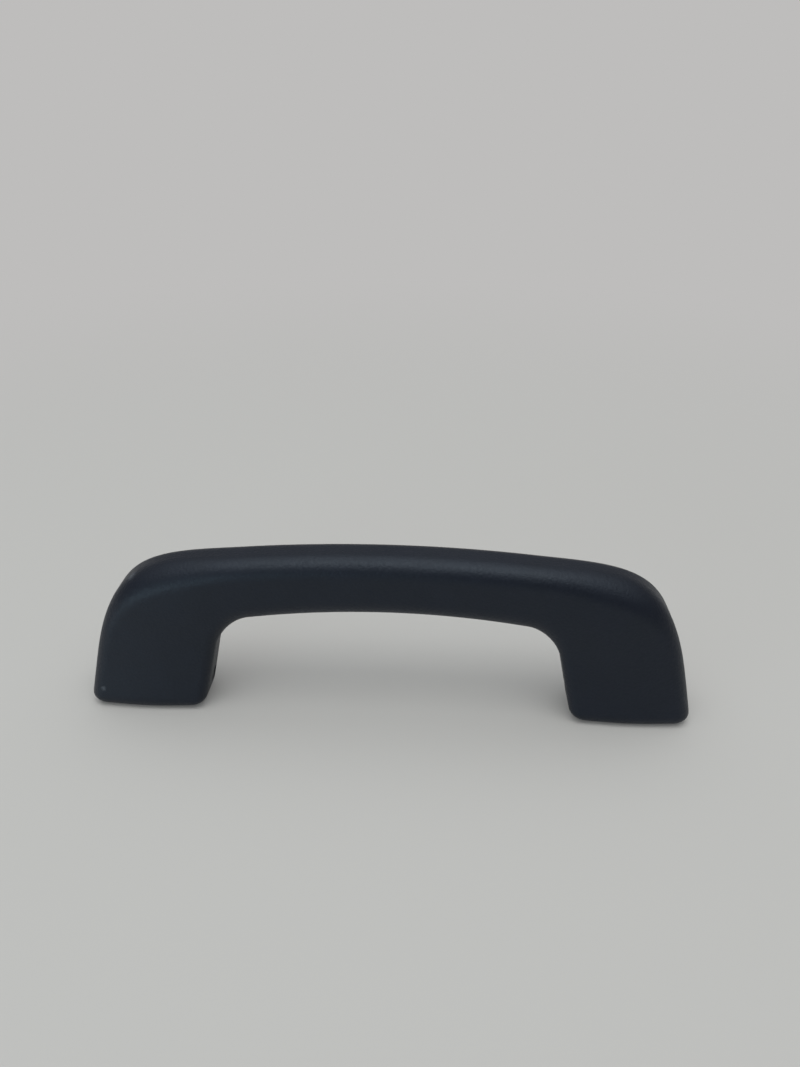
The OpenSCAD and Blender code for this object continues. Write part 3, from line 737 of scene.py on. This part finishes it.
def moulded_nylon():
    """Glass-filled nylon, injection moulded: black, dull and faintly cloudy from the fibres."""
    material, tree, shader = new_material("glass_filled_nylon", {"IOR": 1.53})
    fibres = grain(tree, 0.8, 3.0)
    tint(tree, fibres, shader, "#1a1b1d", "#242528")
    roughen(tree, fibres, shader, 0.48, 0.64)
    relief(tree, fibres, shader, 0.03)
    return material


def zinc_plate(name, dark, light, low, high):
    """Turned steel, zinc plated: a soft metal sheen, cloudy from the bath, over faint marks."""
    material, tree, shader = new_material(name, {"Metallic": 1.0})
    bath = grain(tree, 1.5, 3.0)
    tint(tree, bath, shader, dark, light)
    roughen(tree, bath, shader, low, high)
    relief(tree, grain(tree, 0.15), shader, 0.004)
    return material


def spring_wire():
    """Cold-drawn spring wire, lightly oiled: a grey metal, brighter where the die polished it."""
    material, tree, shader = new_material("drawn_spring_wire", {"Metallic": 1.0})
    die = grain(tree, 0.7, 3.0)
    tint(tree, die, shader, "#8c8d90", "#b0b1b3")
    roughen(tree, die, shader, 0.22, 0.36)
    return material


def natural_acetal():
    """Uncoloured acetal, moulded and bare: milky white and waxy, as light passes a little way in."""
    finish = {"IOR": 1.48, "Subsurface Weight": 0.15, "Subsurface Radius": (MM, MM, 0.8 * MM)}
    material, tree, shader = new_material("natural_acetal", finish)
    flow = grain(tree, 2.0)
    tint(tree, flow, shader, "#dedbd0", "#e6e3da")
    roughen(tree, flow, shader, 0.36, 0.46)
    return material


def damper_shell():
    """Black ABS from a polished mould: smoother than the nylon, with a slight orange peel."""
    material, tree, shader = new_material("black_abs", {"IOR": 1.54})
    peel = grain(tree, 1.2)
    tint(tree, peel, shader, "#232427", "#292a2d")
    roughen(tree, peel, shader, 0.34, 0.42)
    relief(tree, peel, shader, 0.01)
    return material


def seal_rubber():
    """Moulded nitrile rubber, bare: deep black and dull, with a greyish bloom in places."""
    material, tree, shader = new_material("nitrile_rubber", {"IOR": 1.52})
    bloom = grain(tree, 1.0, 3.0)
    tint(tree, bloom, shader, "#121212", "#1c1c1d")
    roughen(tree, bloom, shader, 0.62, 0.76)
    return material


def white_board():
    """Matt white card: shaded near the handle, its plain colour in the distance."""
    finish = {"Base Color": linear("#c9c7c3"), "Roughness": 0.7}
    material, tree, shader = new_material("white_board", finish)
    place = add_node(tree, "ShaderNodeTexCoord")
    distance = add_node(
        tree,
        "ShaderNodeVectorMath",
        {"operation": "LENGTH"},
        links={"Vector": (place, "Object")},
    )
    far = add_node(
        tree,
        "ShaderNodeMapRange",
        {"interpolation_type": "SMOOTHSTEP"},
        {"From Min": 200 * MM, "From Max": 800 * MM, "To Min": 0.12},
        {"Value": (distance, "Value")},
    )
    ray = add_node(tree, "ShaderNodeLightPath")
    reflected = math_node(tree, "ADD", (ray, "Is Glossy Ray"), (ray, "Is Transmission Ray"))
    seen = math_node(tree, "ADD", (ray, "Is Camera Ray"), (reflected, "Value"))
    weight = math_node(tree, "MULTIPLY", (far, "Result"), (seen, "Value"))
    plain = add_node(tree, "ShaderNodeEmission", values={"Color": linear("#bebdbc")})
    board = add_node(
        tree,
        "ShaderNodeMixShader",
        links={0: (weight, "Value"), 1: (shader, "BSDF"), 2: (plain, "Emission")},
    )
    tree.links.new(board.outputs["Shader"], tree.nodes["Material Output"].inputs["Surface"])
    return material


# Build


def dress(piece, material, body, node):
    """Puts a new piece on its body in place of its node, with its material and slot."""
    piece.data.materials.clear()
    piece.data.materials.append(material)
    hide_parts(node)
    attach(piece, body)


LACQUER = soft_touch()
NYLON = moulded_nylon()
COVER = grained_cover()
# The sleeves are clear passivated after plating, the pins black
BRIGHT_ZINC = zinc_plate("bright_zinc", "#b9babb", "#cfd0d1", 0.26, 0.4)
BLACK_ZINC = zinc_plate("black_zinc", "#232427", "#303134", 0.36, 0.5)
WIRE = spring_wire()
ACETAL = natural_acetal()
ABS = damper_shell()
RUBBER = seal_rubber()

dress(make_grip(), LACQUER, "handle", "grip")
dress(make_spring(), WIRE, "handle", "return_spring")

NODE_FINISH = {
    "left_bracket": NYLON,
    "right_bracket": NYLON,
    "left_screw_cover": COVER,
    "right_screw_cover": COVER,
    "left_sleeve": BRIGHT_ZINC,
    "right_sleeve": BRIGHT_ZINC,
    "left_hinge_pin": BLACK_ZINC,
    "right_hinge_pin": BLACK_ZINC,
    "left_washer": ACETAL,
    "right_washer": ACETAL,
    "spring_spool": ACETAL,
    "damper_rotor": ACETAL,
    "damper_cap": ACETAL,
    "damper_housing": ABS,
    "damper_oring": RUBBER,
    "left_bumper": RUBBER,
    "right_bumper": RUBBER,
}
for name, finish in NODE_FINISH.items():
    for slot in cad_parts[name].material_slots:
        slot.material = finish


# Floor, light and camera

# The board, flat as far as the start of its curve behind the handle
BOARD_SIDE = 2500.0
CURVE_START = 1150.0
CURVE_RADIUS = 350.0
CURVE_STEPS = 24
WALL_TOP = 370.0


def make_floor():
    """White board that runs up behind the handle in one sweep."""
    profile = [(-BOARD_SIDE, FEET_Z), (CURVE_START, FEET_Z)]
    for k in range(1, CURVE_STEPS + 1):
        c, s = unit(-90 + 90 * k / CURVE_STEPS)
        profile.append((CURVE_START + CURVE_RADIUS * c, FEET_Z + CURVE_RADIUS * (1 + s)))
    profile.append((CURVE_START + CURVE_RADIUS, WALL_TOP))
    verts = [(x * MM, y * MM, z * MM) for y, z in profile for x in (-BOARD_SIDE, BOARD_SIDE)]
    faces = [(2 * k, 2 * k + 1, 2 * k + 3, 2 * k + 2) for k in range(len(profile) - 1)]
    mesh = bpy.data.meshes.new("board")
    mesh.from_pydata(verts, [], faces)
    mesh.shade_smooth()
    mesh.materials.append(white_board())
    board = bpy.data.objects.new("board", mesh)
    bpy.context.scene.collection.objects.link(board)


def area_light(name, place, target, size, power, colour):
    """Rectangular light that faces its target."""
    light = bpy.data.lights.new(name, "AREA")
    light.color = colour
    light.shape = "RECTANGLE"
    light.size, light.size_y = size[0] * MM, size[1] * MM
    light.energy = power
    lamp = bpy.data.objects.new(name, light)
    lamp.location = Vector(place) * MM
    aim = (Vector(target) - Vector(place)).normalized()
    lamp.rotation_euler = aim.to_track_quat("-Z", "Y").to_euler()
    bpy.context.scene.collection.objects.link(lamp)


def make_room():
    """Room that is pale overhead and darker toward the horizon, which keeps the edges dark."""
    world = bpy.data.worlds.new("room")
    world.use_nodes = True
    tree = world.node_tree
    room = tree.nodes["Background"]
    room.inputs["Color"].default_value = (0.95, 0.98, 1.0, 1.0)
    place = add_node(tree, "ShaderNodeTexCoord")
    parts = add_node(tree, "ShaderNodeSeparateXYZ", links={"Vector": (place, "Generated")})
    level = add_node(
        tree,
        "ShaderNodeMapRange",
        values={"From Min": 0.55, "To Min": 0.16, "To Max": 1.7},
        links={"Value": (parts, "Z")},
    )
    tree.links.new(level.outputs["Result"], room.inputs["Strength"])
    bpy.context.scene.world = world


def make_lights():
    """A broad light overhead for the sheen along the arch, and a weak cool one at the left."""
    area_light(
        "ceiling_light",
        place=(0, -420, 1800),
        target=(0, 0, 0),
        size=(2000, 800),
        power=5.7,
        colour=(1.0, 1.0, 0.98),
    )
    area_light(
        "window_side",
        place=(-750, -900, 110),
        target=(-90, -20, 10),
        size=(1000, 500),
        power=3.4,
        colour=(0.74, 0.93, 1.0),
    )


# The photograph's camera: a phone held about 30 cm away, above and a little to the right
CAMERA_PLACE = (16.6, -259.6, 181.2)
CAMERA_PITCH = 28.65
CAMERA_HEADING = 2.83
CAMERA_ROLL = 0.28
LENS_FACTOR = 1.0025
SENSOR = 36.0


def make_camera():
    """Camera fitted to the outline in the photo."""
    data = bpy.data.cameras.new("phone")
    data.sensor_fit = "HORIZONTAL"
    data.sensor_width = SENSOR
    data.lens = SENSOR * LENS_FACTOR
    data.clip_start = 0.01
    camera = bpy.data.objects.new("phone", data)
    look = (
        Matrix.Rotation(math.radians(CAMERA_HEADING), 4, "Z")
        @ Matrix.Rotation(math.radians(90 - CAMERA_PITCH), 4, "X")
        @ Matrix.Rotation(math.radians(CAMERA_ROLL), 4, "Z")
    )
    camera.matrix_world = Matrix.Translation(Vector(CAMERA_PLACE) * MM) @ look
    bpy.context.scene.collection.objects.link(camera)
    bpy.context.scene.camera = camera


make_floor()
make_room()
make_lights()
make_camera()
bpy.context.scene.view_settings.view_transform = "Standard"
